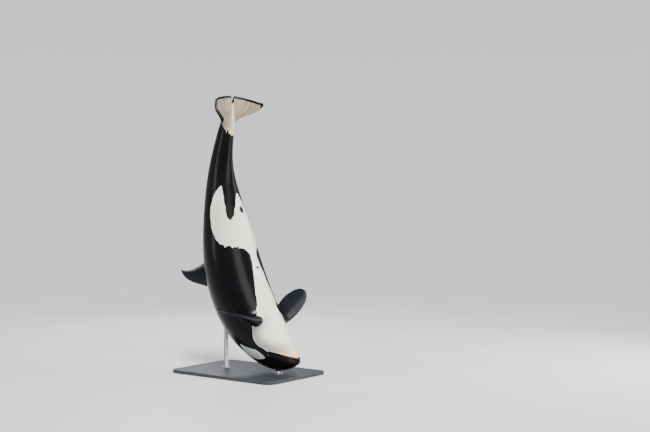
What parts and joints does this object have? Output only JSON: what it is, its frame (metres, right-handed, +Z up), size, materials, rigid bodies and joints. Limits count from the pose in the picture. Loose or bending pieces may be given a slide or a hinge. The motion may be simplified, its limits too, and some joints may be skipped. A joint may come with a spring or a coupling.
{
  "type": "orca",
  "caption": "Life-size adult orca in a head-down leap, flippers spread and flukes raised, held by rods on a flat display stand.",
  "frame": {"origin": "middle of the underside of the stand's base", "axes": "+Z up, +X the way the belly faces, +Y to the animal's right; the plane Y = 0 divides left from right"},
  "size_m": [3.0067, 2.2736, 5.2599],
  "materials": {
    "black_skin": "wet, smooth",
    "white_skin": "wet, smooth",
    "eye": "polished",
    "base_paint": "satin",
    "rod_steel": "brushed"
  },
  "bodies": {
    "root": {"head": "black_skin", "lower_jaw": "white_skin", "eye_right": "eye", "eye_left": "eye", "chest": "black_skin", "belly": "black_skin", "loin": "black_skin", "tail_stock": "black_skin", "dorsal_fin": "black_skin", "flipper_right": "black_skin", "flipper_left": "black_skin", "fluke_right": "white_skin", "fluke_left": "white_skin", "stand_base": "base_paint", "stand_rod_front": "rod_steel", "stand_rod_rear": "rod_steel"}
  },
  "joints": []
}
